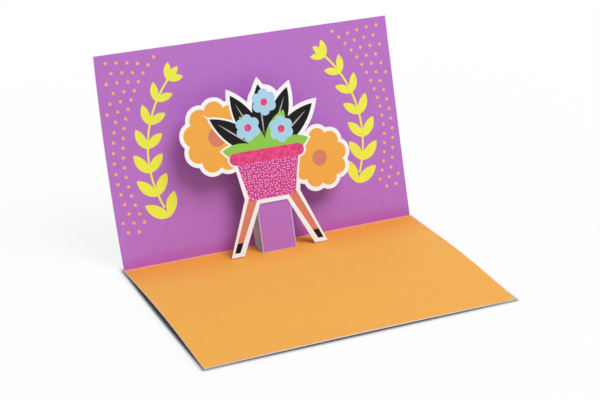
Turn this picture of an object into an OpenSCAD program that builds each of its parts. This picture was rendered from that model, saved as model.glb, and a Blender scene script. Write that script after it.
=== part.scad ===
// Pop-up notecard, standing open: a folded card, a folded ring at its crease, and a die-cut sheet on it.
// Millimetres, +Z up, +X along the crease, -Y to the front.
// The origin is on the table, under the middle of the card's outline.

/* [Folded card] */
// Width of the card, along its crease
card_w = 152.4; // [120:0.1:200]
// Depth of the panel that lies flat, from the crease
floor_d = 101.6; // [85:0.1:140]
// Height of the back panel, measured up its slope
back_h = 101.6; // [90:0.1:110]
// How far the back panel leans back from upright, in degrees
lean = 18.9; // [6:0.1:28]
// Thickness of the card stock
card_t = 0.5; // [0.3:0.05:0.8]

/* [Pop-up ring] */
// Width of the ring, along the crease
ring_w = 17.6; // [12:0.1:24]
// Distance from the back panel to the ring's front wall, along the floor
ring_d = 9.6; // [6:0.1:14]
// Height of the ring, measured up the slope
ring_h = 42; // [34:0.5:52]
// Thickness of the ring's card
ring_t = 0.3; // [0.2:0.05:0.5]
// Room between the two ends of the ring's strip, which meet halfway up its back
end_gap = 1; // [0.6:0.1:3]

/* [Cut-out sheet] */
// Thickness of the printed sheet
sheet_t = 0.4; // [0.25:0.05:0.6]
// White border left around the print
border = 2; // [1:0.1:3]
// Room between the sheet's lower edge and the floor panel
low_gap = 0.4; // [0.2:0.1:2]

/* [Planter motif] */
// Height of the pot's underside
leg_h = 26; // [20:0.5:30]
// Distance between the ends of the two legs
leg_spread = 44; // [40:0.5:52]
// Width of a leg at the pot
leg_w = 5; // [4:0.2:6.6]
// Width of a leg at its end
tip_w = 2.8; // [2:0.2:4]
// Width of the pot at its underside
pot_bottom_w = 24; // [20:0.5:28]
// Width of the pot under its rim
pot_top_w = 32; // [28:0.5:36]
// Height of the pot under its rim
pot_h = 18; // [14:0.5:24]
// Width of the rim
rim_w = 39; // [37:0.5:45]
// Height of the rim
rim_h = 6; // [4:0.5:8]

/* [Leaves and flowers] */
// Number of tall leaves
leaf_n = 5; // [3:2:7]
// Angle that the tall leaves fan over
leaf_fan = 104; // [80:1:130]
// Length of a tall leaf
leaf_l = 34; // [28:0.5:40]
// Width of a tall leaf
leaf_w = 10; // [7:0.5:13]
// Length of a short leaf
sprig_l = 23; // [16:0.5:27]
// Width of a short leaf
sprig_w = 9; // [6:0.5:11]
// Radius of a small flower
flower_r = 6.5; // [5:0.25:8]

/* [Large blooms] */
// Radius of the left bloom
left_r = 17; // [13:0.5:20]
// Radius of the right bloom
right_r = 14.5; // [11:0.5:17]
// Number of lobes round a bloom
lobe_n = 9; // [7:1:12]

/* [Hidden] */
$fn = 96;

// The middle of the card's rounded fold, as [y, z] from the inner crease
fold = [card_t/2*(1 - sin(lean))/cos(lean), card_t/2];
// How far the back panel reaches behind the crease, and where that puts the crease
back_reach = back_h*sin(lean) + card_t*cos(lean);
crease_y = (floor_d - back_reach)/2;

// The middle lines of the ring's walls, as distances from the back panel and heights over the floor panel
wall_in = ring_t/2/cos(lean);
ring_near = wall_in;
ring_far = ring_d - wall_in;
ring_low = ring_t/2;
ring_high = ring_h*cos(lean) - ring_t/2;
// The strip's four folds, and its two ends
floor_fold = ring_point(ring_far, ring_low);
front_fold = ring_point(ring_far, ring_high);
back_fold = ring_point(ring_near, ring_high);
crease_fold = ring_point(ring_near, ring_low);
low_end = ring_point(ring_near, (ring_h - end_gap)/2*cos(lean));
high_end = ring_point(ring_near, (ring_h + end_gap)/2*cos(lean));

// Heights on the cut-out sheet, and where its motifs sit
rim_v = leg_h + pot_h + rim_h/2;
hip_x = pot_bottom_w/2 - leg_w/2;
sprig_angles = [-78, -30, 30, 78];
flower_spots = [[-8, 14], [9, 11], [2, 25]];
left_spot = [-24, 12];
right_spot = [27, -6];
lobe_share = 1.2*sin(180/lobe_n)/(1 + sin(180/lobe_n));

function ring_point(distance, height) = [height*tan(lean) - distance, card_t + height];
function slope_point(up, behind) =
    [up*sin(lean) + behind*cos(lean), card_t + up*cos(lean) - behind*sin(lean)];

folded_card();
pop_up_ring();
pop_up_cutout();

// One sheet with one rounded fold, as a side profile drawn out along the crease
module folded_card() {
    color([0.72, 0.41, 0.74])
        along_crease(card_w)
            card_profile();
}

module card_profile() {
    floor_end = [-floor_d, card_t/2];
    back_end = slope_point(back_h, card_t/2);
    folded_wall(fold, floor_end, card_t);
    folded_wall(fold, back_end, card_t);
}

// One strip with four folds: its low end on the back panel, the floor, the front wall, the top, its high end
module pop_up_ring() {
    color([0.66, 0.36, 0.66])
        along_crease(ring_w) {
            folded_wall(crease_fold, low_end, ring_t);
            folded_wall(floor_fold, crease_fold, ring_t);
            folded_wall(floor_fold, front_fold, ring_t);
            folded_wall(front_fold, back_fold, ring_t);
            folded_wall(back_fold, high_end, ring_t);
        }
}

// A wall from a fold line to the next fold or to a cut edge, rounded at the first
module folded_wall(from, to, thick) {
    run = to - from;
    translate(from) {
        circle(d = thick);
        rotate(atan2(run.y, run.x))
            translate([0, -thick/2])
                square([norm(run), thick]);
    }
}

// Draws a side profile, given as [y, z] from the crease, out to a width along X
module along_crease(width) {
    translate([0, crease_y, 0])
        rotate([90, 0, 90])
            linear_extrude(height = width, center = true)
                children();
}

// One die-cut sheet, flat against the ring's front wall
module pop_up_cutout() {
    color([0.95, 0.69, 0.32])
        translate([0, crease_y - ring_d, card_t])
            rotate([90 - lean, 0, 0])
                linear_extrude(height = sheet_t)
                    cutout_outline(border);
}

// All motifs, each grown by the border that is left round the print
module cutout_outline(grow) {
    for (side = [-1, 1])
        leg(side, grow);
    pot(grow);
    translate([0, rim_v]) {
        capsule(rim_w, rim_h, grow);
        tall_leaves(grow);
        short_leaves(grow);
        for (spot = flower_spots)
            translate(spot)
                circle(flower_r + grow);
        translate(left_spot)
            bloom(left_r, grow);
        translate(right_spot)
            bloom(right_r, grow);
    }
}

module pot(grow) {
    low = leg_h - grow;
    high = leg_h + pot_h + rim_h/2;
    half_low = pot_bottom_w/2 + grow;
    half_high = pot_top_w/2 + grow;
    polygon([[-half_low, low], [half_low, low], [half_high, high], [-half_high, high]]);
}

// A leg that tapers to an end cut level with the floor
module leg(side, grow) {
    hip = [side*hip_x, leg_h + leg_w/2];
    tip = [side*leg_spread/2, low_gap + border - grow];
    half_hip = [leg_w/2 + grow, 0];
    half_tip = [tip_w/2 + grow, 0];
    polygon([tip - half_tip, tip + half_tip, hip + half_hip, hip - half_hip]);
}

// A bar with round ends, laid along X
module capsule(width, height, grow) {
    straight = width - height;
    square([straight, height + 2*grow], center = true);
    for (side = [-1, 1])
        translate([side*straight/2, 0])
            circle(d = height + 2*grow);
}

module tall_leaves(grow) {
    step = leaf_fan/(leaf_n - 1);
    for (i = [0:leaf_n - 1])
        rotate(leaf_fan/2 - i*step)
            leaf(leaf_l, leaf_w, grow);
}

module short_leaves(grow) {
    for (angle = sprig_angles)
        rotate(angle)
            leaf(sprig_l, sprig_w, grow);
}

// A pointed leaf from the origin along +Y, between two arcs
module leaf(length, width, grow) {
    arc_r = (length*length + width*width)/(4*width);
    inset = arc_r - width/2;
    translate([0, length/2])
        intersection() {
            translate([-inset, 0])
                circle(arc_r + grow);
            translate([inset, 0])
                circle(arc_r + grow);
        }
}

// A round bloom with lobes that overlap a little at their sides
module bloom(radius, grow) {
    lobe_r = radius*lobe_share;
    circle(radius - lobe_r + grow);
    for (i = [0:lobe_n - 1])
        rotate(90 + i*360/lobe_n)
            translate([radius - lobe_r, 0])
                circle(lobe_r + grow);
}
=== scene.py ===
# %% [markdown]
# A pop-up notecard
#
# The card is three pieces of paper: a folded card, a small ring folded from a strip and glued in its
# crease, and a die-cut sheet glued to the ring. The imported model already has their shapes. Paper needs
# more than a shape, so this lesson is about how a sheet bows, and how print is made with shader nodes.
# The frame is loaded first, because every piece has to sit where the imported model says.

# %% Load the frame
import math

import bpy
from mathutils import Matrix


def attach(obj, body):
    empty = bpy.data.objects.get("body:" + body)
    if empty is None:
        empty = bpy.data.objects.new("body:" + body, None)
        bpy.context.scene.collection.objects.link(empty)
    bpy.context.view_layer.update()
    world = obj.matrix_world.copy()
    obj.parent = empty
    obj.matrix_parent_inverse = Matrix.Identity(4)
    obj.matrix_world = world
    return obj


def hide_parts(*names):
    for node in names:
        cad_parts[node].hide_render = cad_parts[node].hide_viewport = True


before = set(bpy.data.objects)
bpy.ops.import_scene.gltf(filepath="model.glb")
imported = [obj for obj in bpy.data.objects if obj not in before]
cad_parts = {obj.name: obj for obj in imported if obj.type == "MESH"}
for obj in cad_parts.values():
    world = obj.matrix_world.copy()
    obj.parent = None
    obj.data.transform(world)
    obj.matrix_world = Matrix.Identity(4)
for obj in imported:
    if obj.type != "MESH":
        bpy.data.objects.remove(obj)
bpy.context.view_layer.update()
print("nodes:", sorted(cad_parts))

# %% [markdown]
# The sizes of the card are set once, in millimetres, as on a drawing, and MM turns them into metres.
# The crease is the line that everything is measured from: the floor panel runs forward from it, and
# the back panel leans back from it.

# %% Sizes of the card
MM = 0.001
CARD_W = 152.4
FLOOR_D = 101.6
BACK_H = 101.6
CARD_T = 0.5
LEAN = math.radians(18.9)
BACK_REACH = BACK_H*math.sin(LEAN) + CARD_T*math.cos(LEAN)
CREASE_Y = (FLOOR_D - BACK_REACH)/2
print("crease at y =", round(CREASE_Y, 2), "mm")

# %% [markdown]
# Operators act on whatever is selected, so each step starts clean and then picks its own vertices.
# They are picked by their place and not by their number, because numbers change as soon as a count
# of rows does.

# %% Helpers for picking
def start_clean():
    """Leaves object mode with nothing selected, so that the next operator acts on its own piece only."""
    if bpy.context.object and bpy.context.object.mode != "OBJECT":
        bpy.ops.object.mode_set(mode="OBJECT")
    bpy.ops.object.select_all(action="DESELECT")


def pick_verts(piece, wanted):
    """Selects the vertices whose place in millimetres is wanted, and ends in edit mode."""
    bpy.ops.object.mode_set(mode="EDIT")
    bpy.ops.mesh.select_mode(type="VERT")
    bpy.ops.mesh.select_all(action="DESELECT")
    bpy.ops.object.mode_set(mode="OBJECT")
    for vert in piece.data.vertices:
        vert.select = wanted(vert.co/MM)
    bpy.ops.object.mode_set(mode="EDIT")


print("helpers for picking ready")

# %% [markdown]
# The real card was cut flat, scored and folded once. Two plates set at an angle would look alike, but
# their fold would be a seam. Here a grid is laid down as the floor panel, and its rear edge is extruded
# up the slope, which makes one sheet with one fold. The grid and the rows of the extrusion give the
# sheet enough vertices to bow in a later step.

# %% Fold a sheet
COLUMNS = 48
FLOOR_ROWS = 32
BACK_ROWS = 24
NEAR = 0.05
start_clean()
bpy.ops.mesh.primitive_grid_add(x_subdivisions=COLUMNS, y_subdivisions=FLOOR_ROWS, size=1)
card = bpy.context.object
card.name = "printed_card"
card.scale = (CARD_W*MM, FLOOR_D*MM, 1)
card.location = (0, (CREASE_Y - FLOOR_D/2)*MM, CARD_T*MM)
bpy.ops.object.transform_apply(location=True, rotation=True, scale=True)
pick_verts(card, lambda place: place.y > CREASE_Y - NEAR)
row_h = BACK_H/BACK_ROWS*MM
up_slope = (0, row_h*math.sin(LEAN), row_h*math.cos(LEAN))
for row in range(BACK_ROWS):
    bpy.ops.mesh.extrude_region_move(TRANSFORM_OT_translate={"value": up_slope})
bpy.ops.object.mode_set(mode="OBJECT")
print("folded sheet:", len(card.data.polygons), "faces")

# %% [markdown]
# A scored fold is not knife sharp: the board rolls round a small radius. A bevel along the crease
# gives that roll. Only the crease's own edges are picked, by their place.

# %% Round the crease
FOLD_ROLL = 0.25
ROLL_STEPS = 4
pick_verts(card, lambda place: abs(place.y - CREASE_Y) < NEAR and abs(place.z - CARD_T) < NEAR)
bpy.ops.mesh.bevel(offset=FOLD_ROLL*MM, segments=ROLL_STEPS, affect="EDGES")
bpy.ops.object.mode_set(mode="OBJECT")
print("with a rolled crease:", len(card.data.polygons), "faces")

# %% [markdown]
# Card keeps a little spring after it is folded. The floor panel rests on its crease and on its front
# corners and bows up between them, which lets a line of shadow in under its sides and its front edge.
# A modifier could bend the whole panel, but it has to stay flat where the ring is glued down and the
# legs come close to it. So each vertex is lifted by a small sum of its own: one bow for the sides, one
# for the middle that starts in front of the ring, and an arch along the front edge.

# %% Bow the floor panel
FLOOR_BOW = 2.0
FRONT_ARCH = 0.6
FLAT_D = 12
FLAT_SHARE = 0.36
SIDE_SHARE = 0.8
MIDDLE_PART = 0.8


def smooth(low, high, value):
    """A smooth step from 0 at low to 1 at high."""
    part = min(max((value - low)/(high - low), 0), 1)
    return part*part*(3 - 2*part)


def floor_rise(across, ahead):
    """The rise of the floor panel. Across is -1 to 1 from side to side, ahead is 0 to 1 from the crease."""
    past_flat = max(0, (ahead*FLOOR_D - FLAT_D)/(FLOOR_D - FLAT_D))
    middle_bow = MIDDLE_PART*math.sin(math.pi*past_flat)**2
    side_bow = math.sin(math.pi*ahead)
    bow = middle_bow + smooth(FLAT_SHARE, SIDE_SHARE, abs(across))*(side_bow - middle_bow)
    return FLOOR_BOW*bow + FRONT_ARCH*ahead*ahead*(1 - across*across)


for vert in card.data.vertices:
    place = vert.co/MM
    ahead = (CREASE_Y - place.y)/FLOOR_D
    if ahead > 0:
        vert.co.z += floor_rise(2*place.x/CARD_W, ahead)*MM
print("sides of the floor panel rise by", round(floor_rise(1, 0.5), 2), "mm")

# %% [markdown]
# The back panel has sprung too. Its left edge bows back by a few millimetres, and both upper corners
# curl to the front, while the ring holds the middle straight. Each half gets its own bow and curl, which
# grow with the square of the distance from the calm middle, so that no line shows where they begin.

# %% Curl the back panel
CALM_SHARE = 0.15
LEFT_BOW = 2.9
LEFT_CURL = 2.0
RIGHT_CURL = 1.3


def panel_set_back(across, up):
    """How far the back panel moves back. Up is 0 at the crease and 1 at the top."""
    share = max(0, (abs(across) - CALM_SHARE)/(1 - CALM_SHARE))**2
    if across < 0:
        return share*(LEFT_BOW*4*up*(1 - up) - LEFT_CURL*up*up)
    return -share*RIGHT_CURL*up*up


for vert in card.data.vertices:
    place = vert.co/MM
    up = (place.z - CARD_T)/(BACK_H*math.cos(LEAN))
    if place.y > CREASE_Y and up > 0:
        back = panel_set_back(2*place.x/CARD_W, up)*MM
        vert.co.y += back*math.cos(LEAN)
        vert.co.z -= back*math.sin(LEAN)
print("upper left corner curls by", round(-panel_set_back(-1, 1), 2), "mm")

# %% [markdown]
# So far the sheet has no thickness. Solidify gives it the board's own, away from the printed side,
# so that the inside stays exactly where it was drawn. An extrusion along the normals would do the same,
# but Solidify also closes the cut edges.

# %% Give the sheet its thickness
SMOOTH_UP_TO = math.radians(25)


def apply_modifier(piece, kind, **settings):
    """Adds one modifier to a piece and applies it."""
    start_clean()
    bpy.context.view_layer.objects.active = piece
    piece.select_set(True)
    modifier = piece.modifiers.new(kind.lower(), kind)
    for name, value in settings.items():
        setattr(modifier, name, value)
    bpy.ops.object.modifier_apply(modifier=modifier.name)


apply_modifier(card, "SOLIDIFY", thickness=CARD_T*MM, offset=-1, use_even_offset=True)
bpy.ops.object.shade_smooth_by_angle(angle=SMOOTH_UP_TO)
lowest = min(vert.co.z for vert in card.data.vertices)/MM
highest = max(vert.co.z for vert in card.data.vertices)/MM
print("card stands from", round(lowest, 3), "to", round(highest, 3), "mm")

# %% [markdown]
# Materials come next, and they are all printed paper. Print is worked out with many small nodes, so
# a few helpers keep the code readable. They add a node and wire it, add a sum, a smooth step or a noise,
# and lay one colour over another.

# %% Helpers for nodes
def wire(tree, kind, *values, **settings):
    """Adds a node, sets its options, and links or sets its inputs in order. None leaves an input alone."""
    node = tree.nodes.new(kind)
    for name, value in settings.items():
        setattr(node, name, value)
    for socket, value in zip(node.inputs, values):
        if value is not None:
            feed(tree, socket, value)
    return node


def feed(tree, socket, value):
    """Links a socket to another one, or sets its value."""
    if isinstance(value, bpy.types.NodeSocket):
        tree.links.new(value, socket)
    else:
        socket.default_value = value


def calc(tree, operation, *values):
    """One Math node."""
    return wire(tree, "ShaderNodeMath", *values, operation=operation).outputs[0]


def ramp(tree, value, low, high, at_low=0.0, at_high=1.0):
    """A smooth step: at_low below low, at_high above high."""
    limits = (low, high, at_low, at_high)
    return wire(tree, "ShaderNodeMapRange", value, *limits, interpolation_type="SMOOTHSTEP").outputs[0]


def noise(tree, place, scale, detail, rough):
    """A noise between 0 and 1, on a place in millimetres."""
    return wire(tree, "ShaderNodeTexNoise", place, None, scale, detail, rough).outputs[0]


def blend(tree, mask, below, above):
    """One colour over another, where the mask is 1."""
    node = tree.nodes.new("ShaderNodeMix")
    node.data_type = "RGBA"
    for index, value in ((0, mask), (6, below), (7, above)):
        feed(tree, node.inputs[index], value)
    return node.outputs[2]


print("helpers for nodes ready")

# %% [markdown]
# What several materials share is put in a node group. A group has named inputs and outputs, so each
# material can place it and give it its own values, and a change to the group reaches all of them.

# %% Helpers for groups
def new_group(name, inputs, outputs):
    """A shader node group with named sockets. Inputs are (name, kind, default), outputs are (name, kind)."""
    tree = bpy.data.node_groups.new(name, "ShaderNodeTree")
    for label, kind, default in inputs:
        socket = tree.interface.new_socket(label, in_out="INPUT", socket_type="NodeSocket" + kind)
        if default is not None:
            socket.default_value = default
    for label, kind in outputs:
        tree.interface.new_socket(label, in_out="OUTPUT", socket_type="NodeSocket" + kind)
    entry = tree.nodes.new("NodeGroupInput").outputs
    leave = tree.nodes.new("NodeGroupOutput").inputs
    return tree, entry, leave


def use_group(tree, group, **inputs):
    """Places a group in a tree. Input names are written with _ for a space."""
    node = tree.nodes.new("ShaderNodeGroup")
    node.node_tree = group
    for name, value in inputs.items():
        feed(tree, node.inputs[name.replace("_", " ")], value)
    return node.outputs


print("helpers for groups ready")

# %% [markdown]
# Printers mix inks by eye, and so do paint programs, with numbers from 0 to 255. Nodes work with the
# amount of light instead, which rises much faster. One helper turns the first into the second, so the
# inks further down can be written as they would be picked on a screen.

# %% Inks
def ink(red, green, blue):
    """A printed colour, given as in a paint program, as the linear colour that nodes use."""
    def linear(level):
        level = level/255
        return level/12.92 if level < 0.04045 else ((level + 0.055)/1.055)**2.4
    return (linear(red), linear(green), linear(blue), 1)


BARE = ink(244, 244, 248)
print("bare board reflects", round(BARE[1], 2), "of the light")

# %% [markdown]
# All the papers have the same surface: soft clouds where the board took the ink unevenly, fine specks,
# and fibres that lie along the sheet and roughen it. A picture of paper could give that, but it would
# end somewhere and blur close by. Noise on the Object coordinates has no seam and stays sharp.

# %% Paper group
FIBRE_SQUEEZE = (1.0, 3.2, 1.0)
CLOUD_PART = 0.6
ROUGH_SWING = 0.22
SPECK_HEIGHT = 0.3


def make_paper_group():
    tree, entry, leave = new_group(
        "paper_surface",
        [("Place", "Vector", None), ("Colour", "Color", (1, 1, 1, 1)), ("Cloud", "Float", 0.06),
         ("Rough", "Float", 0.55)],
        [("Colour", "Color"), ("Rough", "Float"), ("Height", "Float")])
    clouds = noise(tree, entry["Place"], scale=0.22, detail=3.0, rough=0.55)
    specks = noise(tree, entry["Place"], scale=2.4, detail=2.0, rough=0.6)
    squeezed = wire(tree, "ShaderNodeVectorMath", entry["Place"], FIBRE_SQUEEZE, operation="MULTIPLY")
    fibres = noise(tree, squeezed.outputs[0], scale=1.7, detail=4.0, rough=0.62)
    cloudy = calc(tree, "MULTIPLY", clouds, CLOUD_PART)
    mixed = calc(tree, "ADD", cloudy, calc(tree, "MULTIPLY", specks, 1 - CLOUD_PART))
    swing = calc(tree, "MULTIPLY", calc(tree, "SUBTRACT", mixed, 0.5), entry["Cloud"])
    tone = calc(tree, "ADD", swing, 1.0)
    tinted = wire(tree, "ShaderNodeVectorMath", entry["Colour"], operation="SCALE")
    tree.links.new(tone, tinted.inputs["Scale"])
    tree.links.new(tinted.outputs[0], leave["Colour"])
    grain = calc(tree, "SUBTRACT", fibres, 0.5)
    tree.links.new(calc(tree, "MULTIPLY_ADD", grain, ROUGH_SWING, entry["Rough"]), leave["Rough"])
    tree.links.new(calc(tree, "MULTIPLY_ADD", specks, SPECK_HEIGHT, fibres), leave["Height"])
    return tree


paper_surface = make_paper_group()
print("paper group:", len(paper_surface.nodes), "nodes")

# %% [markdown]
# Where card is folded or cut, the ink is the first thing to go: a thin broken line of bare paper
# shows. That is a second shared group. It takes the distance to the fold or to the cut edge in
# millimetres, and puts out a mask that is ragged, because the noise shifts where it ends.

# %% Worn ink group
RAGGED = 1.6
GONE_UP_TO = 0.35


def make_wear_group():
    tree, entry, leave = new_group(
        "worn_ink",
        [("Place", "Vector", None), ("Distance", "Float", 1.0), ("Reach", "Float", 0.4)],
        [("Mask", "Float")])
    ragged = noise(tree, entry["Place"], scale=0.9, detail=3.0, rough=0.6)
    reach = calc(tree, "MULTIPLY", entry["Reach"], calc(tree, "MULTIPLY", ragged, RAGGED))
    near = calc(tree, "DIVIDE", entry["Distance"], reach)
    tree.links.new(ramp(tree, near, GONE_UP_TO, 1.0, at_low=1.0, at_high=0.0), leave["Mask"])
    return tree


worn_ink = make_wear_group()
print("wear group:", len(worn_ink.nodes), "nodes")

# %% [markdown]
# Print is made of simple shapes: leaves, round blooms, bars and tapers. Each shape is a group that
# works out how far a point lies outside the shape, in millimetres, which is called a signed distance.
# Below zero is inside. From that one number come two masks: the shape itself, and a slightly grown
# copy that is used for the thin white line round it.

# %% Masks from a distance
PRINT_SOFT = 0.05
KEYLINE = 0.9
MASKS = [("Mask", "Float"), ("Keyline", "Float")]
AT = [("Place", "Vector", None), ("At U", "Float", 0.0), ("At V", "Float", 0.0)]


def inside(tree, outside):
    """A print mask from a signed distance: 1 inside, 0 outside, soft over a hair's breadth."""
    return ramp(tree, outside, -PRINT_SOFT, PRINT_SOFT, at_low=1.0, at_high=0.0)


def put_masks(tree, outside, leave):
    """Turns a signed distance into a print mask and a grown mask."""
    tree.links.new(inside(tree, outside), leave["Mask"])
    tree.links.new(inside(tree, calc(tree, "SUBTRACT", outside, KEYLINE)), leave["Keyline"])


def span(tree, across, along):
    """The length of a flat vector."""
    squares = calc(tree, "ADD", calc(tree, "MULTIPLY", across, across), calc(tree, "MULTIPLY", along, along))
    return calc(tree, "SQRT", squares)


def from_point(tree, entry):
    """The place across and up from the point that a shape is set at."""
    parts = wire(tree, "ShaderNodeSeparateXYZ", entry["Place"]).outputs
    return calc(tree, "SUBTRACT", parts[0], entry["At U"]), calc(tree, "SUBTRACT", parts[1], entry["At V"])


print("a mask fades over", 2*PRINT_SOFT, "mm")

# %% [markdown]
# A pointed leaf is the space that two equal circles share. Folding the place over the leaf's middle
# line, by taking its size without its sign, means that only one circle has to be worked out.

# %% Leaf group
def make_leaf_group():
    tree, entry, leave = new_group(
        "leaf_shape",
        AT + [("Turn", "Float", 0.0), ("Length", "Float", 20.0), ("Width", "Float", 8.0)],
        MASKS)
    across, along = from_point(tree, entry)
    sine = calc(tree, "SINE", entry["Turn"])
    cosine = calc(tree, "COSINE", entry["Turn"])
    side = calc(tree, "MULTIPLY_ADD", across, cosine, calc(tree, "MULTIPLY", along, sine))
    aside = calc(tree, "MULTIPLY", across, sine)
    ahead = calc(tree, "SUBTRACT", calc(tree, "MULTIPLY", along, cosine), aside)
    length, width = entry["Length"], entry["Width"]
    squares = calc(tree, "ADD", calc(tree, "MULTIPLY", length, length), calc(tree, "MULTIPLY", width, width))
    arc = calc(tree, "DIVIDE", squares, calc(tree, "MULTIPLY", width, 4.0))
    inset = calc(tree, "MULTIPLY_ADD", width, -0.5, arc)
    folded = calc(tree, "ADD", calc(tree, "ABSOLUTE", side), inset)
    from_middle = calc(tree, "MULTIPLY_ADD", length, -0.5, ahead)
    put_masks(tree, calc(tree, "SUBTRACT", span(tree, folded, from_middle), arc), leave)
    return tree


leaf_shape = make_leaf_group()
print("leaf group:", len(leaf_shape.nodes), "nodes")

# %% [markdown]
# A bloom is a ring of round lobes with a disc in the middle. The angle round the centre is folded
# into one lobe's share of the circle, so one lobe drawn there appears all the way round.

# %% Bloom group
def make_bloom_group():
    tree, entry, leave = new_group(
        "bloom_shape",
        AT + [("Radius", "Float", 15.0), ("Lobes", "Float", 9.0), ("Lobe Radius", "Float", 4.0)], MASKS)
    across, along = from_point(tree, entry)
    reach = span(tree, across, along)
    angle = calc(tree, "SUBTRACT", calc(tree, "ARCTAN2", along, across), math.pi/2)
    share = calc(tree, "DIVIDE", 2*math.pi, entry["Lobes"])
    count = calc(tree, "ROUND", calc(tree, "DIVIDE", angle, share))
    within = calc(tree, "SUBTRACT", angle, calc(tree, "MULTIPLY", count, share))
    hub = calc(tree, "SUBTRACT", entry["Radius"], entry["Lobe Radius"])
    out = calc(tree, "SUBTRACT", calc(tree, "MULTIPLY", reach, calc(tree, "COSINE", within)), hub)
    side = calc(tree, "MULTIPLY", reach, calc(tree, "SINE", within))
    lobe = calc(tree, "SUBTRACT", span(tree, out, side), entry["Lobe Radius"])
    core = calc(tree, "SUBTRACT", reach, hub)
    put_masks(tree, calc(tree, "MINIMUM", lobe, core), leave)
    return tree


bloom_shape = make_bloom_group()
print("bloom group:", len(bloom_shape.nodes), "nodes")

# %% [markdown]
# A bar with round ends is all points within half its height of a line. It serves for the pot's rim,
# and with no straight part it is a round dot.

# %% Bar group
def make_bar_group():
    tree, entry, leave = new_group(
        "bar_shape", AT + [("Straight", "Float", 0.0), ("Height", "Float", 4.0)], MASKS)
    across, along = from_point(tree, entry)
    past = calc(tree, "MULTIPLY_ADD", entry["Straight"], -0.5, calc(tree, "ABSOLUTE", across))
    past = calc(tree, "MAXIMUM", past, 0.0)
    put_masks(tree, calc(tree, "MULTIPLY_ADD", entry["Height"], -0.5, span(tree, past, along)), leave)
    return tree


bar_shape = make_bar_group()
print("bar group:", len(bar_shape.nodes), "nodes")

# %% [markdown]
# A taper runs between two level lines and may lean, as the pot and its legs do. Its middle and its
# half width change evenly on the way up, and it is cut off below the first line and over the second.

# %% Taper group
def make_taper_group():
    tree, entry, leave = new_group(
        "taper_shape",
        AT + [("Top U", "Float", 0.0), ("Top V", "Float", 10.0), ("Width", "Float", 5.0),
              ("Top Width", "Float", 8.0)],
        MASKS)
    across, along = from_point(tree, entry)
    rise = calc(tree, "SUBTRACT", entry["Top V"], entry["At V"])
    part = calc(tree, "DIVIDE", along, rise)
    drift = calc(tree, "MULTIPLY", calc(tree, "SUBTRACT", entry["Top U"], entry["At U"]), part)
    gain = calc(tree, "MULTIPLY", calc(tree, "SUBTRACT", entry["Top Width"], entry["Width"]), part)
    half = calc(tree, "MULTIPLY", calc(tree, "ADD", entry["Width"], gain), 0.5)
    beside = calc(tree, "SUBTRACT", calc(tree, "ABSOLUTE", calc(tree, "SUBTRACT", across, drift)), half)
    below = calc(tree, "MULTIPLY", along, -1.0)
    over = calc(tree, "SUBTRACT", along, rise)
    ends = calc(tree, "MAXIMUM", below, over)
    put_masks(tree, calc(tree, "MAXIMUM", beside, ends), leave)
    return tree


taper_shape = make_taper_group()
print("taper group:", len(taper_shape.nodes), "nodes")

# %% [markdown]
# Every printed face needs its own flat ruler: U across, V up the sheet, and N out of the paper, in
# millimetres. A Mapping node of the Texture kind gives that from Object coordinates. It takes off the
# sheet's place, turns the slope upright, and divides by the scale.

# %% Rulers
def ruler(tree, corner, turn):
    """U, V, N in millimetres from a corner on a sheet that is turned like this."""
    spot = wire(tree, "ShaderNodeTexCoord").outputs["Object"]
    return wire(tree, "ShaderNodeMapping", spot, corner, turn, (MM, MM, MM), vector_type="TEXTURE").outputs[0]


def sheet_place(tree, setback):
    """The ruler of a sheet that leans like the back panel, this far in front of the crease."""
    return ruler(tree, (0, (CREASE_Y - setback)*MM, CARD_T*MM), (math.pi/2 - LEAN, 0, 0))


def floor_place(tree):
    """The ruler of the floor panel, with V forward from the crease."""
    return ruler(tree, (0, CREASE_Y*MM, CARD_T*MM), (0, 0, math.pi))


print("rulers ready")

# %% [markdown]
# A paper material is a matt shader with the paper group in front of it. The print that goes in differs,
# and so does how much the clouds, the roughness and the fibres show: ink fills the fibres, bare board
# leaves them open.

# %% Helpers for paper
SHINE = 0.15
FIBRE_DEPTH = 0.05


def new_paper(name):
    """An empty material with a matt paper shader. Returns the material, its tree and its shader."""
    material = bpy.data.materials.new(name)
    material.use_nodes = True
    tree = material.node_tree
    shader = tree.nodes["Principled BSDF"]
    shader.inputs["Specular IOR Level"].default_value = SHINE
    return material, tree, shader


def finish_paper(tree, shader, place, colour, cloud, rough, bump):
    """Runs a printed colour through the paper group and into the shader."""
    paper = use_group(tree, paper_surface, Place=place, Colour=colour, Cloud=cloud, Rough=rough)
    tree.links.new(paper["Colour"], shader.inputs["Base Color"])
    tree.links.new(paper["Rough"], shader.inputs["Roughness"])
    relief = tree.nodes.new("ShaderNodeBump")
    relief.inputs["Strength"].default_value = bump
    relief.inputs["Distance"].default_value = FIBRE_DEPTH*MM
    tree.links.new(paper["Height"], relief.inputs["Height"])
    tree.links.new(relief.outputs[0], shader.inputs["Normal"])


print("helpers for paper ready")

# %% [markdown]
# The outside of the card and every cut edge are bare white board, with no ink to smooth the fibres.

# %% Bare board
bare_board, tree, shader = new_paper("bare_board")
finish_paper(tree, shader, sheet_place(tree, 0), BARE, cloud=0.05, rough=0.72, bump=0.5)
print("made", bare_board.name)

# %% [markdown]
# The inside of the card is printed to its edges. The ink pales where the board is folded and along
# the knife cut, on the floor panel and on the back panel alike, so one helper works out that wear
# from the panel's own ruler. V is 0 at the crease on both.

# %% Wear round a panel
WEAR = 0.2
FOLD_REACH = 0.45
CUT_REACH = 0.3


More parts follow.
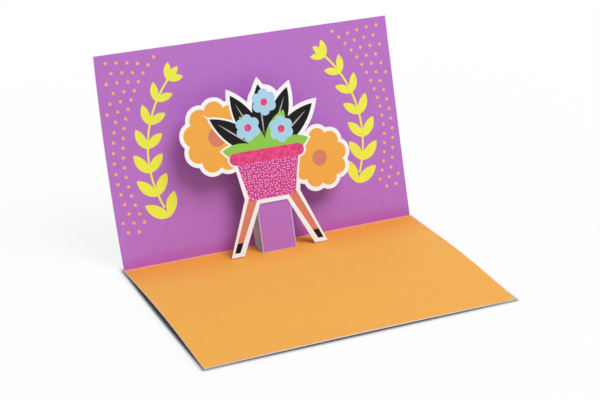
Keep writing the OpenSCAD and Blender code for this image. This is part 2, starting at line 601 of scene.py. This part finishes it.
def panel_wear(tree, place, height):
    """How worn the ink is on a panel of the card that runs this far from the crease."""
    parts = wire(tree, "ShaderNodeSeparateXYZ", place).outputs
    to_side = calc(tree, "SUBTRACT", CARD_W/2, calc(tree, "ABSOLUTE", parts[0]))
    to_end = calc(tree, "SUBTRACT", height, parts[1])
    to_cut = calc(tree, "MINIMUM", to_side, to_end)
    to_fold = calc(tree, "ABSOLUTE", parts[1])
    at_fold = use_group(tree, worn_ink, Place=place, Distance=to_fold, Reach=FOLD_REACH)["Mask"]
    at_cut = use_group(tree, worn_ink, Place=place, Distance=to_cut, Reach=CUT_REACH)["Mask"]
    return calc(tree, "MULTIPLY", calc(tree, "MAXIMUM", at_fold, at_cut), WEAR)


print("ink loses", WEAR, "of its cover where it is worn")

# %% [markdown]
# Both panels are darker near the crease, where the two prints meet: this is painted shade, the shade of
# the fold put into the ink. A ramp along V goes from the shaded ink at the crease to the plain ink.

# %% Painted shade at the crease
def paint_crease_shade(tree, place, plain, deep, reach):
    """An ink darkened by painted shade over this many millimetres towards the crease."""
    from_crease = wire(tree, "ShaderNodeSeparateXYZ", place).outputs[1]
    # painted shade: the ink darkens towards the fold
    return blend(tree, ramp(tree, from_crease, 0.0, reach), deep, plain)


print("helper for deeper ink ready")

# %% [markdown]
# The floor panel is one flood of orange, darkened by painted shade over the third of the panel next to the
# crease.

# %% Orange floor print
ORANGE = ink(241, 175, 80)
# The two numbers below paint the crease's shade into the orange: its darkest colour and how far it reaches.
ORANGE_CREASE_SHADE = ink(236, 156, 60)
ORANGE_SHADE_REACH = 29
orange_print, tree, shader = new_paper("orange_print")
place = floor_place(tree)
colour = paint_crease_shade(tree, place, ORANGE, ORANGE_CREASE_SHADE, ORANGE_SHADE_REACH)
wear = panel_wear(tree, place, FLOOR_D)
finish_paper(tree, shader, place, blend(tree, wear, colour, BARE), cloud=0.12, rough=0.5, bump=0.22)
print("made", orange_print.name)

# %% [markdown]
# The back panel carries a pattern: two leafy sprigs that curve up at the sides like a wreath, and
# dots in arcs outside them. Both sit on circles, so the first thing they need is a ruler that runs
# round a circle. The right half is folded over the left one, because the wreath is even.

# %% Wreath ruler
def round_place(tree, entry):
    """The distance from the wreath's centre, and the angle up from level, alike on both sides."""
    across, along = from_point(tree, entry)
    across = calc(tree, "ABSOLUTE", across)
    return span(tree, across, along), calc(tree, "ARCTAN2", along, across)


print("wreath ruler ready")

# %% [markdown]
# A sprig is a leaf drawn once beside a round stem. The angle is folded into one step, as on the blooms,
# so that the leaf repeats along the stem, once outside and once inside. Each pair of leaves is a
# little smaller than the one below it, and one more leaf stands at the tip.

# %% Sprig group
PAIR_TURN = math.radians(38)
ROOT_SHARE = 0.4
STEM_HALF_W = 0.5


def make_sprig_group():
    tree, entry, leave = new_group(
        "sprig_pattern",
        AT + [("Wreath Radius", "Float", 56.0), ("Step", "Float", 0.2), ("Low", "Float", -0.4),
              ("High", "Float", 0.8), ("Leaf Length", "Float", 13.0), ("Leaf Width", "Float", 5.4),
              ("Shrink", "Float", 0.06)],
        [("Mask", "Float")])
    reach, angle = round_place(tree, entry)
    first = calc(tree, "CEIL", calc(tree, "DIVIDE", entry["Low"], entry["Step"]))
    last = calc(tree, "FLOOR", calc(tree, "DIVIDE", entry["High"], entry["Step"]))
    count = calc(tree, "ROUND", calc(tree, "DIVIDE", angle, entry["Step"]))
    count = calc(tree, "MINIMUM", calc(tree, "MAXIMUM", count, first), last)
    within = calc(tree, "SUBTRACT", angle, calc(tree, "MULTIPLY", count, entry["Step"]))
    climb = calc(tree, "MULTIPLY", within, entry["Wreath Radius"])
    out = calc(tree, "SUBTRACT", reach, entry["Wreath Radius"])
    spot = wire(tree, "ShaderNodeCombineXYZ", out, climb, 0.0).outputs[0]
    shrink = calc(tree, "MULTIPLY", calc(tree, "SUBTRACT", count, first), entry["Shrink"])
    scale = calc(tree, "SUBTRACT", 1.0, shrink)
    length = calc(tree, "MULTIPLY", entry["Leaf Length"], scale)
    width = calc(tree, "MULTIPLY", entry["Leaf Width"], scale)
    size = {"Length": length, "Width": width, "At_V": calc(tree, "MULTIPLY", length, -ROOT_SHARE)}
    outer = use_group(tree, leaf_shape, Place=spot, Turn=-PAIR_TURN, **size)["Mask"]
    inner = use_group(tree, leaf_shape, Place=spot, Turn=PAIR_TURN, **size)["Mask"]
    tip = use_group(tree, leaf_shape, Place=spot, **size)["Mask"]
    tip = calc(tree, "MULTIPLY", tip, calc(tree, "COMPARE", count, last, 0.5))
    leaves = calc(tree, "MAXIMUM", calc(tree, "MAXIMUM", outer, inner), tip)
    stem = inside(tree, calc(tree, "SUBTRACT", calc(tree, "ABSOLUTE", out), STEM_HALF_W))
    started = calc(tree, "GREATER_THAN", angle, entry["Low"])
    ended = calc(tree, "LESS_THAN", angle, entry["High"])
    stem = calc(tree, "MULTIPLY", stem, calc(tree, "MULTIPLY", started, ended))
    tree.links.new(calc(tree, "MAXIMUM", leaves, stem), leave["Mask"])
    return tree


sprig_pattern = make_sprig_group()
print("sprig group:", len(sprig_pattern.nodes), "nodes")

# %% [markdown]
# The dots fill the corners outside the sprigs. They stand in arcs, each row shifted by half a step
# against the one before. A Voronoi texture would scatter dots more quickly, but it would cut them off
# at the edges. Here each dot's own place is worked out, so a dot is printed whole or left out.

# %% Dot arcs group
def make_dots_group():
    tree, entry, leave = new_group(
        "dot_arcs",
        AT + [("First Radius", "Float", 68.0), ("Gap", "Float", 4.6), ("Rows", "Float", 5.0),
              ("Step", "Float", 0.068), ("Dot Radius", "Float", 0.8), ("Low", "Float", -0.45),
              ("Limit U", "Float", 73.5), ("Limit V", "Float", 50.5)],
        [("Mask", "Float")])
    reach, angle = round_place(tree, entry)
    row = calc(tree, "DIVIDE", calc(tree, "SUBTRACT", reach, entry["First Radius"]), entry["Gap"])
    last = calc(tree, "SUBTRACT", entry["Rows"], 1.0)
    row = calc(tree, "MINIMUM", calc(tree, "MAXIMUM", calc(tree, "ROUND", row), 0.0), last)
    middle = calc(tree, "MULTIPLY_ADD", row, entry["Gap"], entry["First Radius"])
    shift = calc(tree, "MULTIPLY", row, 0.5)
    steps = calc(tree, "SUBTRACT", calc(tree, "DIVIDE", angle, entry["Step"]), shift)
    count = calc(tree, "ADD", calc(tree, "ROUND", steps), shift)
    dot_angle = calc(tree, "MULTIPLY", count, entry["Step"])
    aside = calc(tree, "MULTIPLY", calc(tree, "SUBTRACT", angle, dot_angle), middle)
    off = span(tree, aside, calc(tree, "SUBTRACT", reach, middle))
    dots = inside(tree, calc(tree, "SUBTRACT", off, entry["Dot Radius"]))
    dot_u = calc(tree, "MULTIPLY", middle, calc(tree, "COSINE", dot_angle))
    dot_v = calc(tree, "MULTIPLY", middle, calc(tree, "SINE", dot_angle))
    started = calc(tree, "GREATER_THAN", dot_angle, entry["Low"])
    fits_u = calc(tree, "LESS_THAN", dot_u, entry["Limit U"])
    fits_v = calc(tree, "LESS_THAN", dot_v, entry["Limit V"])
    kept = calc(tree, "MULTIPLY", started, calc(tree, "MULTIPLY", fits_u, fits_v))
    tree.links.new(calc(tree, "MULTIPLY", dots, kept), leave["Mask"])
    return tree


dot_arcs = make_dots_group()
print("dot group:", len(dot_arcs.nodes), "nodes")

# %% [markdown]
# The back panel is a flood of purple, darkened by painted shade near the crease, with the two patterns over
# it, in the order of the press: dots first, then the sprigs, and the wear last, because it takes all of them
# off.

# %% Purple back print
PURPLE = ink(188, 118, 202)
# The two numbers below paint the crease's shade into the purple: its darkest colour and how far it reaches.
PURPLE_CREASE_SHADE = ink(185, 96, 186)
PURPLE_SHADE_REACH = 8
YELLOW = ink(242, 242, 79)
APRICOT = ink(246, 184, 114)
WREATH_V = 48
purple_print, tree, shader = new_paper("purple_print")
place = sheet_place(tree, 0)
dots = use_group(tree, dot_arcs, Place=place, At_V=WREATH_V)["Mask"]
sprigs = use_group(tree, sprig_pattern, Place=place, At_V=WREATH_V)["Mask"]
colour = paint_crease_shade(tree, place, PURPLE, PURPLE_CREASE_SHADE, PURPLE_SHADE_REACH)
colour = blend(tree, dots, colour, APRICOT)
colour = blend(tree, sprigs, colour, YELLOW)
wear = panel_wear(tree, place, BACK_H)
finish_paper(tree, shader, place, blend(tree, wear, colour, BARE), cloud=0.2, rough=0.5, bump=0.22)
print("made", purple_print.name)

# %% [markdown]
# The card's faces now get their materials. A face is told apart by where it looks: the inside of the
# floor panel looks up, the inside of the back panel looks to the front, and all others are bare board.

# %% Print the card
FACING = math.cos(math.radians(45))
CREASE_ROOM = 1
for material in (bare_board, orange_print, purple_print):
    card.data.materials.append(material)
for face in card.data.polygons:
    place = face.center/MM
    looks_up = face.normal.z > FACING
    looks_ahead = face.normal.y < -FACING
    if looks_up and place.y < CREASE_Y:
        face.material_index = 1
    elif looks_ahead and place.y > CREASE_Y - CREASE_ROOM:
        face.material_index = 2
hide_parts("folded_card")
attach(card, "root")
print("printed faces:", sum(1 for face in card.data.polygons if face.material_index))

# %% [markdown]
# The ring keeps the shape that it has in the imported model. It is printed on its outside only, so its
# material asks how far a point lies from the outer face of the front wall and of the top: within a
# hair of either it is purple, and anywhere else it is bare paper, cut edges too. The ink has cracked
# along the fold at the floor and rubbed off at the cut sides, which the wear group shows.

# %% Print the ring
RING_W = 17.6
RING_D = 9.6
RING_H = 42
RING_WEAR = 0.6
RING_REACH = 0.6
HAIR = 0.06
ring_paper, tree, shader = new_paper("ring_paper")
place = sheet_place(tree, RING_D)
parts = wire(tree, "ShaderNodeSeparateXYZ", place).outputs
on_front = calc(tree, "GREATER_THAN", parts[2], -HAIR)
spot = wire(tree, "ShaderNodeSeparateXYZ", wire(tree, "ShaderNodeTexCoord").outputs["Object"]).outputs
top_z = (CARD_T + RING_H*math.cos(LEAN) - HAIR)*MM
on_top = calc(tree, "GREATER_THAN", spot[2], top_z)
printed = calc(tree, "MAXIMUM", on_front, on_top)
to_cut = calc(tree, "SUBTRACT", RING_W/2, calc(tree, "ABSOLUTE", parts[0]))
to_bare = calc(tree, "MINIMUM", to_cut, calc(tree, "ABSOLUTE", parts[1]))
wear = use_group(tree, worn_ink, Place=place, Distance=to_bare, Reach=RING_REACH)["Mask"]
worn_purple = blend(tree, calc(tree, "MULTIPLY", wear, RING_WEAR), PURPLE, BARE)
colour = blend(tree, printed, BARE, worn_purple)
finish_paper(tree, shader, place, colour, cloud=0.08, rough=0.55, bump=0.25)
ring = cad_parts["pop_up_ring"]
ring.data.materials.clear()
ring.data.materials.append(ring_paper)
print("made", ring_paper.name)

# %% [markdown]
# The cut-out sheet is the picture: a speckled planter on two legs with leaves and small flowers, and a
# large bloom on each side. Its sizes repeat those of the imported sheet, so that an even white border is
# left round the print. They are written down once, here, before anything is drawn.

# %% Sizes of the picture
SHEET_T = 0.4
BORDER = 2
LOW_GAP = 0.4
LEG_H = 26
LEG_SPREAD = 44
LEG_W = 5
TIP_W = 2.8
POT_BOTTOM_W = 24
POT_TOP_W = 32
POT_H = 18
RIM_W = 39
RIM_H = 6
LEAF_N = 5
LEAF_FAN = 104
LEAF_L = 34
LEAF_W = 10
SPRIG_L = 23
SPRIG_W = 9
SPRIG_ANGLES = (-78, -30, 30, 78)
FLOWER_R = 6.5
FLOWER_LOBES = 6
FLOWER_LOBE_R = 2.6
FLOWER_MIDDLE = 3.6
FLOWER_SPOTS = ((-8, 14), (9, 11), (2, 25))
LEFT_R = 17
LEFT_SPOT = (-24, 12)
RIGHT_R = 14.5
RIGHT_SPOT = (27, -6)
LOBE_N = 9
LOBE_OVERLAP = 1.2
LOBE_SHARE = LOBE_OVERLAP*math.sin(math.pi/LOBE_N)/(1 + math.sin(math.pi/LOBE_N))
RIM_V = LEG_H + POT_H + RIM_H/2
print("rim at", RIM_V, "mm up the sheet")

# %% [markdown]
# Two of the inks have a second one on top. The pot is speckled like glazed clay: a Voronoi texture
# scatters cells, and each cell's middle becomes a small dot. It may cut dots off here, because the pot's
# mask trims them anyway.

# %% Speckle group
def make_speckle_group():
    tree, entry, leave = new_group(
        "speckle",
        [("Place", "Vector", None), ("Pitch", "Float", 1.3), ("Size", "Float", 0.3)],
        [("Mask", "Float")])
    grid = wire(tree, "ShaderNodeVectorMath", entry["Place"], operation="SCALE")
    tree.links.new(calc(tree, "DIVIDE", 1.0, entry["Pitch"]), grid.inputs["Scale"])
    cells = wire(tree, "ShaderNodeTexVoronoi", grid.outputs[0], voronoi_dimensions="2D")
    cells.inputs["Scale"].default_value = 1.0
    cells.inputs["Randomness"].default_value = 0.7
    off = calc(tree, "MULTIPLY", cells.outputs["Distance"], entry["Pitch"])
    tree.links.new(inside(tree, calc(tree, "SUBTRACT", off, entry["Size"])), leave["Mask"])
    return tree


speckle = make_speckle_group()
print("speckle group:", len(speckle.nodes), "nodes")

# %% [markdown]
# The rim and the flowers' middles are washed, as if painted with a wet brush: noise makes soft pools
# of a darker ink.

# %% Wash group
POOL_FROM = 0.42
POOL_FULL = 0.6


def make_wash_group():
    tree, entry, leave = new_group(
        "wash", [("Place", "Vector", None), ("Scale", "Float", 0.45)], [("Mask", "Float")])
    pools = noise(tree, entry["Place"], entry["Scale"], detail=2.0, rough=0.5)
    tree.links.new(ramp(tree, pools, POOL_FROM, POOL_FULL), leave["Mask"])
    return tree


wash = make_wash_group()
print("wash group:", len(wash.nodes), "nodes")

# %% [markdown]
# Now the picture is drawn, shape by shape. The plant's shapes are kept in a list with their inks and
# not printed at once, because the white line round the plant is made from all of them together and
# has to lie under them.

# %% Inks of the picture
WHITE = ink(248, 249, 254)
BLACK = ink(18, 15, 16)
GREEN = ink(143, 205, 80)
SKY = ink(170, 215, 240)
HOT_PINK = ink(240, 80, 141)
MAGENTA = ink(207, 68, 149)
PALE_PINK = ink(248, 194, 226)
CORAL = ink(218, 131, 106)
ROSE = ink(210, 68, 127)
ASH = ink(190, 184, 188)
TANGERINE = ink(243, 174, 76)
cutout_print, tree, shader = new_paper("cutout_print")
place = sheet_place(tree, RING_D)
plant = []


def motif(shade, group, **sizes):
    """Keeps one plant shape for printing, with its ink and its masks."""
    plant.append((shade, use_group(tree, group, Place=place, **sizes)))


print("started", cutout_print.name)

# %% [markdown]
# The leaves fan out from the middle of the rim: tall black ones with a pale rib, then short green ones.
# The flowers are blooms with six lobes and a round middle.

# %% Leaves and flowers
RIB_FROM = 9
RIB_SHORT = 5
RIB_W = 0.7
for i in range(LEAF_N):
    turn = math.radians(LEAF_FAN/2 - i*LEAF_FAN/(LEAF_N - 1))
    motif(BLACK, leaf_shape, At_V=RIM_V, Turn=turn, Length=LEAF_L, Width=LEAF_W)
    rib = {"At_U": -RIB_FROM*math.sin(turn), "At_V": RIM_V + RIB_FROM*math.cos(turn), "Turn": turn}
    motif(ASH, leaf_shape, Length=LEAF_L - RIB_FROM - RIB_SHORT, Width=RIB_W, **rib)
for angle in SPRIG_ANGLES:
    motif(GREEN, leaf_shape, At_V=RIM_V, Turn=math.radians(angle), Length=SPRIG_L, Width=SPRIG_W)
for across, along in FLOWER_SPOTS:
    centre = {"At_U": across, "At_V": RIM_V + along}
    motif(SKY, bloom_shape, Radius=FLOWER_R, Lobes=FLOWER_LOBES, Lobe_Radius=FLOWER_LOBE_R, **centre)
    motif(HOT_PINK, bar_shape, Straight=0, Height=FLOWER_MIDDLE, **centre)
print("leaves and flowers:", len(plant), "shapes")

# %% [markdown]
# The legs taper down from the pot, with a black cap on each end that keeps to the leg's own taper. The
# pot and its rim come last and lie over the leaves' roots.

# %% Legs and pot
CAP_H = 4.5
TIP_V = LOW_GAP + BORDER
HIP_V = LEG_H + LEG_W/2
for side in (-1, 1):
    hip_u = side*(POT_BOTTOM_W/2 - LEG_W/2)
    tip_u = side*LEG_SPREAD/2
    low = {"At_U": tip_u, "At_V": TIP_V, "Width": TIP_W}
    motif(CORAL, taper_shape, Top_U=hip_u, Top_V=HIP_V, Top_Width=LEG_W, **low)
    part = CAP_H/(HIP_V - TIP_V)
    cap_u = tip_u + part*(hip_u - tip_u)
    cap_w = TIP_W + part*(LEG_W - TIP_W)
    motif(BLACK, taper_shape, Top_U=cap_u, Top_V=TIP_V + CAP_H, Top_Width=cap_w, **low)
motif(MAGENTA, taper_shape, At_V=LEG_H, Width=POT_BOTTOM_W, Top_V=LEG_H + POT_H, Top_Width=POT_TOP_W)
motif(HOT_PINK, bar_shape, At_V=RIM_V, Straight=RIM_W - RIM_H, Height=RIM_H)
print("whole plant:", len(plant), "shapes")

# %% [markdown]
# The colours go on as in a screen print, from the back to the front: the large blooms on white paper,
# the plant's white line over them, then the plant. Each of its shapes takes its ink, and its second ink
# if it has one.

# %% Lay the inks down
CENTRE_SHARE = 0.27
colour = WHITE
for radius, (across, along) in ((LEFT_R, LEFT_SPOT), (RIGHT_R, RIGHT_SPOT)):
    centre = {"At_U": across, "At_V": RIM_V + along}
    lobes = {"Radius": radius, "Lobes": LOBE_N, "Lobe_Radius": radius*LOBE_SHARE}
    petals = use_group(tree, bloom_shape, Place=place, **lobes, **centre)["Mask"]
    colour = blend(tree, petals, colour, TANGERINE)
    middle = use_group(tree, bar_shape, Place=place, Height=2*radius*CENTRE_SHARE, **centre)["Mask"]
    colour = blend(tree, middle, colour, CORAL)
keyline = 0.0
for _, masks in plant:
    keyline = calc(tree, "MAXIMUM", keyline, masks["Keyline"])
colour = blend(tree, keyline, colour, WHITE)
second_inks = {
    MAGENTA: (use_group(tree, speckle, Place=place)["Mask"], PALE_PINK),
    HOT_PINK: (use_group(tree, wash, Place=place)["Mask"], ROSE),
}
for shade, masks in plant:
    colour = blend(tree, masks["Mask"], colour, shade)
    if shade in second_inks:
        second_mask, second_shade = second_inks[shade]
        colour = blend(tree, calc(tree, "MULTIPLY", second_mask, masks["Mask"]), colour, second_shade)
print("inks laid down:", len(tree.nodes), "nodes")

# %% [markdown]
# The sheet is printed on its front face only. The back and the cut edges stay white paper, so the print
# is kept to points within a hair of the front.

# %% Print the cut-out
parts = wire(tree, "ShaderNodeSeparateXYZ", place).outputs
on_face = calc(tree, "GREATER_THAN", parts[2], SHEET_T - HAIR)
colour = blend(tree, on_face, WHITE, colour)
finish_paper(tree, shader, place, colour, cloud=0.06, rough=0.5, bump=0.22)
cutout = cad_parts["pop_up_cutout"]
cutout.data.materials.clear()
cutout.data.materials.append(cutout_print)
print("made", cutout_print.name)

# %% [markdown]
# The card stands on a plain white floor. White paint in light is never quite white in a picture, and
# more light would bleach the card. So the floor and the world need to know which rays show the
# background, from the camera or by way of a shine, and which carry light.

# %% Ground
GROUND_SIZE = 8


def shows_background(tree):
    """1 for rays from the camera, from a shine or through glass, and 0 for rays that carry light."""
    path = wire(tree, "ShaderNodeLightPath").outputs
    bounced = calc(tree, "MAXIMUM", path["Is Glossy Ray"], path["Is Transmission Ray"])
    return calc(tree, "MAXIMUM", path["Is Camera Ray"], bounced)


start_clean()
bpy.ops.mesh.primitive_plane_add(size=GROUND_SIZE)
ground = bpy.context.object
ground.name = "ground"
print("ground of", GROUND_SIZE, "metres")

# %% [markdown]
# For the rays that show the background, the floor's paint is mixed with plain white, the more the further
# a point lies from the card. So the shadow under the card's edges stays, and to all other rays the floor
# is paint. Under the card, and for about two millimetres round it, the paint itself is dark: a painted
# shadow, which keeps the line of shadow there deep.

# %% Ground paint
# The dark paint set below is a painted shadow under and round the card.
PAINTED_SHADOW_DARK = 0.2
PAINT_WHITE = 0.96
PAINTED_SHADOW_REACH = 2.5
CLOSE_LIFT = 0.85
CLOSE_REACH = 6.0
FAR_FROM = 20.0
FAR_REACH = 400.0
ground_paint = bpy.data.materials.new("ground_paint")
ground_paint.use_nodes = True
tree = ground_paint.node_tree
paint = tree.nodes["Principled BSDF"]
paint.inputs["Roughness"].default_value = 0.9
parts = wire(tree, "ShaderNodeSeparateXYZ", floor_place(tree)).outputs
past_side = calc(tree, "SUBTRACT", calc(tree, "ABSOLUTE", parts[0]), CARD_W/2)
from_middle = calc(tree, "ABSOLUTE", calc(tree, "SUBTRACT", parts[1], FLOOR_D/2))
past_end = calc(tree, "SUBTRACT", from_middle, FLOOR_D/2)
off = span(tree, calc(tree, "MAXIMUM", past_side, 0.0), calc(tree, "MAXIMUM", past_end, 0.0))
# painted shadow: dark under the card, white a little further off
tone = ramp(tree, off, 0.0, PAINTED_SHADOW_REACH, at_low=PAINTED_SHADOW_DARK, at_high=PAINT_WHITE)
tree.links.new(tone, paint.inputs["Base Color"])
close_by = ramp(tree, off, 0.0, CLOSE_REACH, at_high=CLOSE_LIFT)
far_off = ramp(tree, off, FAR_FROM, FAR_REACH, at_high=1 - CLOSE_LIFT)
lift = calc(tree, "MULTIPLY", calc(tree, "ADD", close_by, far_off), shows_background(tree))
plain_white = wire(tree, "ShaderNodeEmission", (1, 1, 1, 1), 1.0).outputs[0]
mixed = wire(tree, "ShaderNodeMixShader", lift, paint.outputs[0], plain_white).outputs[0]
tree.links.new(mixed, tree.nodes["Material Output"].inputs["Surface"])
ground.data.materials.append(ground_paint)
print("made", ground_paint.name)

# %% [markdown]
# The light is that of a small studio. The world gives an even fill, and looks plain white where it is
# seen past the ground. It is kept low, so that shadows stay deep between the sheets of paper.

# %% World light
FILL = 0.3
world = bpy.data.worlds.new("studio_fill")
bpy.context.scene.world = world
world.use_nodes = True
tree = world.node_tree
tree.nodes.clear()
fill = wire(tree, "ShaderNodeBackground", (1, 1, 1, 1), FILL).outputs[0]
backdrop = wire(tree, "ShaderNodeBackground", (1, 1, 1, 1), 1.0).outputs[0]
mixed = wire(tree, "ShaderNodeMixShader", shows_background(tree), fill, backdrop).outputs[0]
wire(tree, "ShaderNodeOutputWorld", mixed)
print("fill light of", FILL)

# %% [markdown]
# One large softbox looks at the crease from above, a little in front of the card and to its right, so that
# the shadow of the cut-out slides down and to the left on the back panel. It is large for its distance,
# which makes the shadow soft: deep beside the cut-out's edge, and fading out below it. The lamp stands
# well off, so that one side of the card is lit about as much as the other. A level of pi would light a
# sheet that faces the lamp to the colour of its ink, and the fill makes up for what it lacks of that.

# %% Softbox
LAMP_TILT = math.radians(28)
LAMP_TURN = math.radians(42)
LAMP_REACH = 4.0
LAMP_SIZE = 2.8
LAMP_LEVEL = 2.6
start_clean()
bpy.ops.object.light_add(type="AREA")
softbox = bpy.context.object
softbox.name = "softbox"
softbox.data.shape = "DISK"
softbox.data.size = LAMP_SIZE
softbox.data.energy = LAMP_LEVEL*math.pi*LAMP_REACH**2
softbox.rotation_euler = (LAMP_TILT, 0, LAMP_TURN)
out_by = LAMP_REACH*math.sin(LAMP_TILT)
to_right = out_by*math.sin(LAMP_TURN)
to_front = out_by*math.cos(LAMP_TURN)
softbox.location = (to_right, CREASE_Y*MM - to_front, LAMP_REACH*math.cos(LAMP_TILT))
print("softbox at", [round(value, 2) for value in softbox.location])

# %% [markdown]
# The camera stands where the photograph was taken from, found from the card's own corners: left of the
# middle and above, with a long lens, so the card's edges hardly converge.

# %% Camera
EYE = (-292.4, CREASE_Y - 667.8, CARD_T + 344.2)
AZIMUTH = math.radians(-24.715)
ELEVATION = math.radians(23.806)
SENSOR = 36
LENS = 98.93
start_clean()
bpy.ops.object.camera_add(location=[value*MM for value in EYE])
camera = bpy.context.object
camera.rotation_euler = (math.pi/2 - ELEVATION, 0, AZIMUTH)
camera.data.sensor_width = SENSOR
camera.data.lens = LENS
camera.data.dof.use_dof = False
bpy.context.scene.camera = camera
bpy.context.scene.view_settings.view_transform = "Standard"
print("camera ready")
